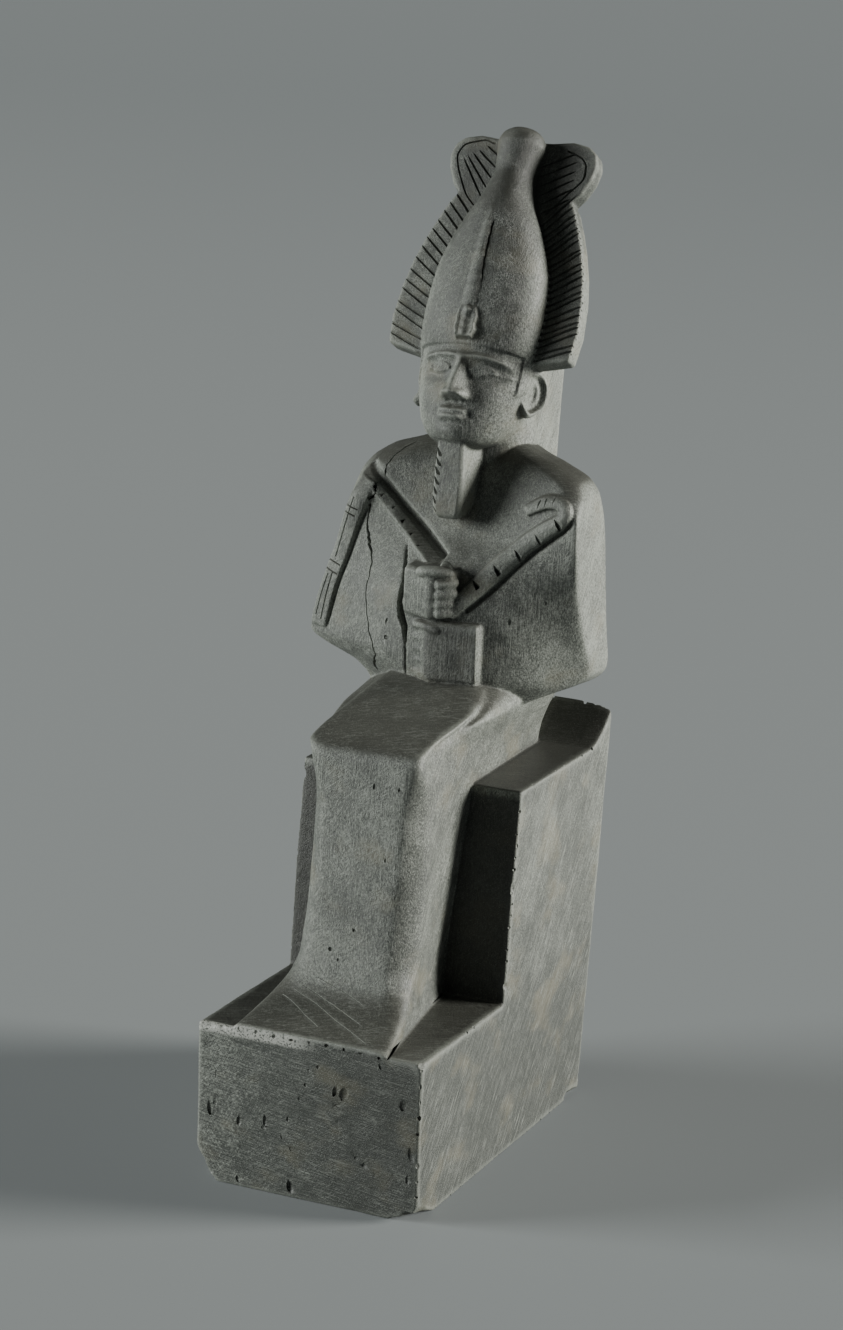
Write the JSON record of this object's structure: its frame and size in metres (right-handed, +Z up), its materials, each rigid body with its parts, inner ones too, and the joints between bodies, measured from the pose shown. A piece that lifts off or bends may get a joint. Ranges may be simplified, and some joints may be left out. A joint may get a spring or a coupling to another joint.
{
  "type": "osiris statuette",
  "caption": "Seated mummy-form king in dark stone on a block throne with a back pillar, with plumed crown, plaited beard, crook and flail.",
  "frame": {"origin": "centre of the flat underside's width and of its depth between the base's front face and the back plane", "axes": "+Z up towards the crown, -Z out of the underside, the figure faces -Y, +X is to the right of someone who looks at the figure's front"},
  "size_m": [0.0718, 0.1226, 0.2477],
  "materials": {
    "stone": "dense dark grey-green stone, carved and rubbed to a worn satin, with scratches, chips and light dust in the hollows"
  },
  "bodies": {
    "root": {"seated_osiris_statuette": "stone"}
  },
  "joints": []
}
